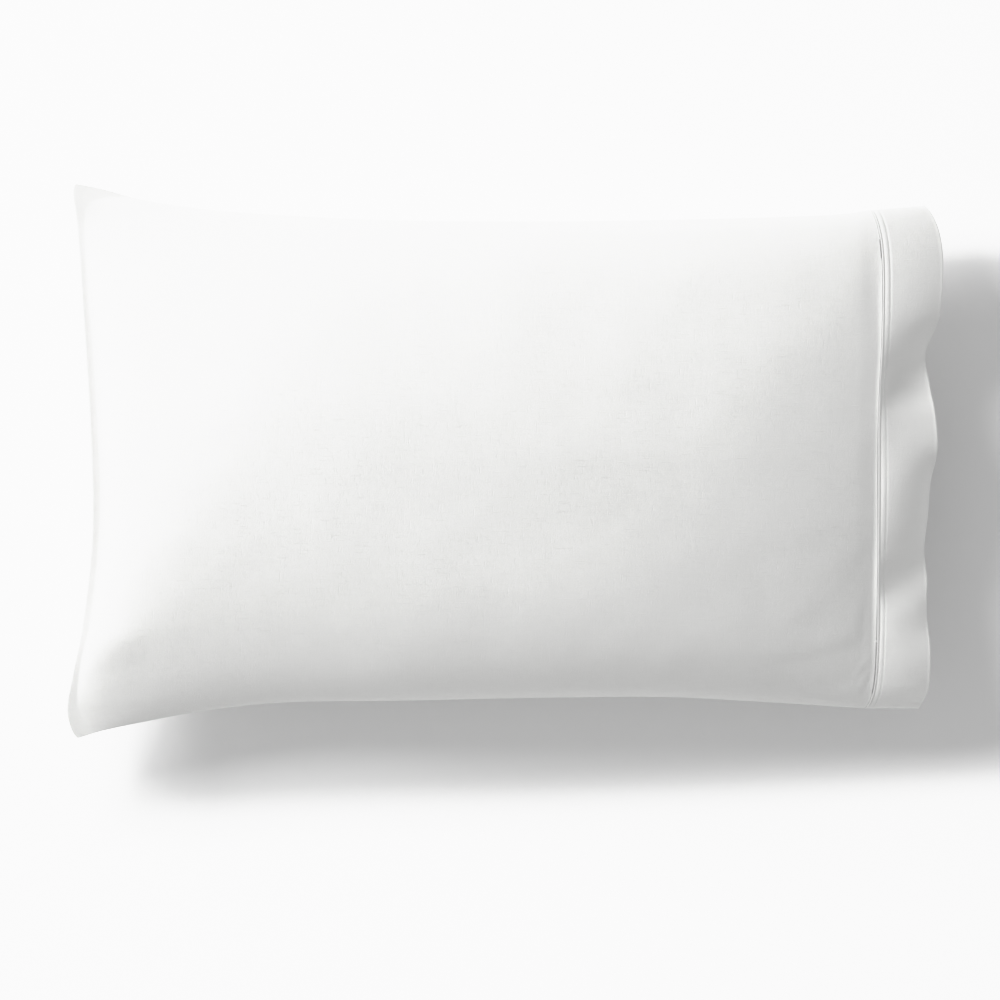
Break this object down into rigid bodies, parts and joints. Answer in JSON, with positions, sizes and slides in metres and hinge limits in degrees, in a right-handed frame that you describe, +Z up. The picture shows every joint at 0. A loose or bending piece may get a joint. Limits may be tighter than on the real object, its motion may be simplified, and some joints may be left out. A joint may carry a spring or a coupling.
{
  "type": "filled pillowcase",
  "caption": "White cotton pillowcase drawn over a soft pillow, with two pointed corners at its sewn end and a wavy open hem band set off by raised piping.",
  "frame": {"origin": "on the resting plane, under the middle of the whole object", "axes": "+X from the sewn closed end to the open hem, +Y across the case, +Z up from the resting plane"},
  "size_m": [0.8076, 0.5143, 0.151],
  "materials": {
    "case_cloth": "matt white plain-weave cotton with a fine slub",
    "hem_cloth": "the same white cotton, doubled and pressed",
    "piping_cloth": "the same white cotton, folded tight over a cord"
  },
  "bodies": {
    "root": {"case_body": "case_cloth", "hem_band": "hem_cloth", "hem_piping": "piping_cloth"}
  },
  "joints": []
}
